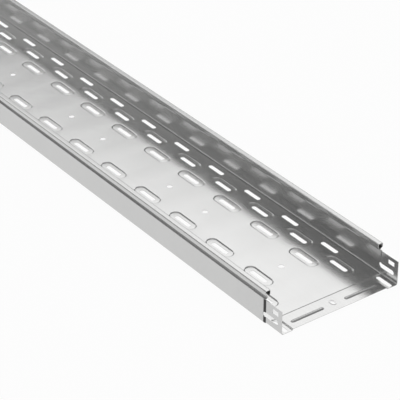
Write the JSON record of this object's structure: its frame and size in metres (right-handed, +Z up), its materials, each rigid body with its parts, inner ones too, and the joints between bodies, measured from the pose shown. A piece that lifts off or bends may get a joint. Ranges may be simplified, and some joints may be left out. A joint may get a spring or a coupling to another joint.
{
  "type": "perforated cable tray",
  "caption": "Long shallow sheet steel channel with dished slots in its raised bottom, smooth walls, hollow beads along the top edges and one joggled end.",
  "frame": {"origin": "middle of the footprint, on the underside of the side strips, which lie on the floor", "axes": "+X along the tray, away from its joggled end; +Y across it; +Z up, out of its open side"},
  "size_m": [2, 0.2, 0.0508],
  "materials": {
    "galvanised_steel": "galvanised, satin"
  },
  "bodies": {
    "root": {"tray_channel": "galvanised_steel"}
  },
  "joints": []
}
